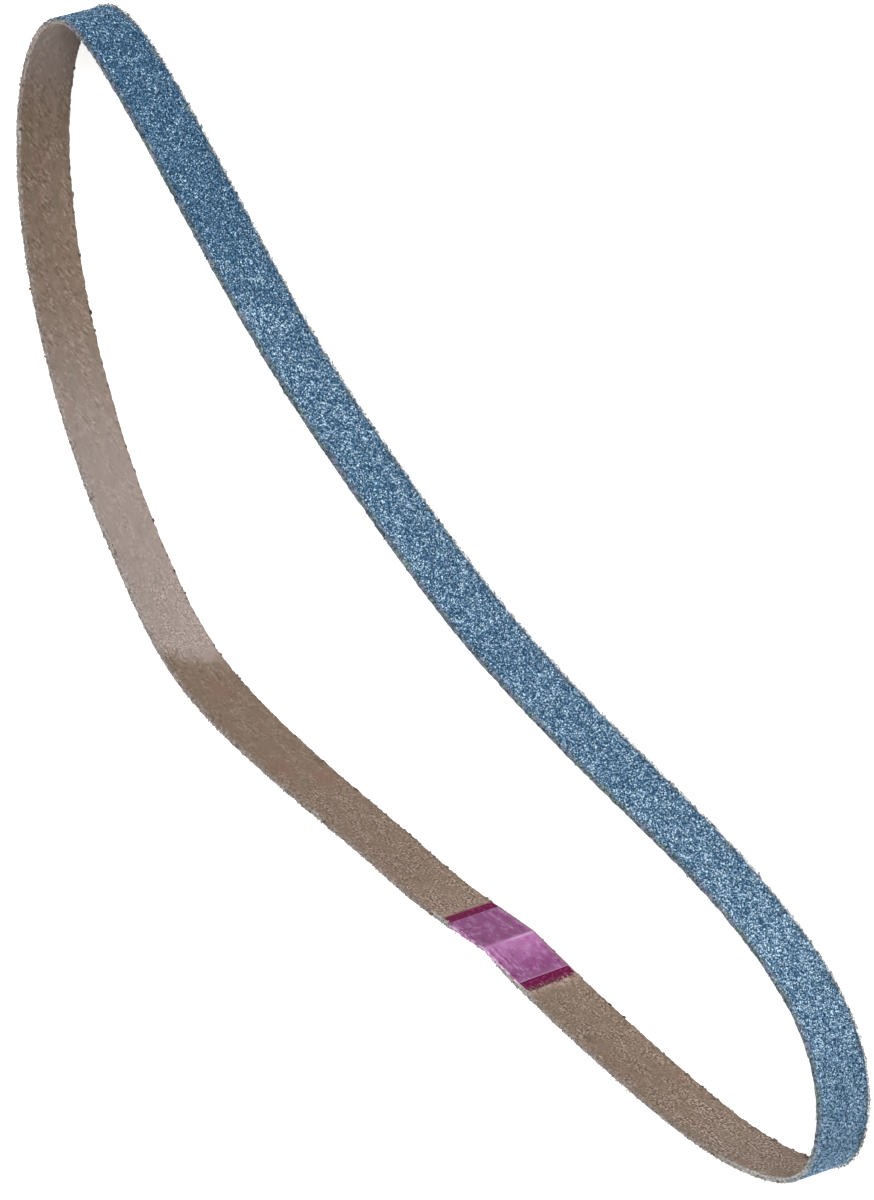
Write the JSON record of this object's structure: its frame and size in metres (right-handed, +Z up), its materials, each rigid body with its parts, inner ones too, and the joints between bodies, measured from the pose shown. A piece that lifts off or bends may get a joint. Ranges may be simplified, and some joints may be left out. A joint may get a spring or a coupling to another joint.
{
  "type": "sanding belt",
  "caption": "Narrow endless sanding belt with blue abrasive grain on brown cloth, its butted ends held by a purple splice tape inside, standing on its rim as a loosely bent loop.",
  "frame": {"origin": "centre of the loop's bounding box, on the floor under its lower rim", "axes": "+X along the loop's longest extent, +Y from the near run to the far run that carries the splice, +Z up along the belt's width"},
  "size_m": [0.2108, 0.059, 0.013],
  "materials": {
    "cloth": "matte",
    "abrasive": "coarse glittering grain",
    "adhesive": "satin",
    "film": "gloss"
  },
  "bodies": {
    "root": {"cloth_backing": "cloth", "abrasive_coat": "abrasive", "splice_adhesive": "adhesive", "splice_film": "film"}
  },
  "joints": []
}
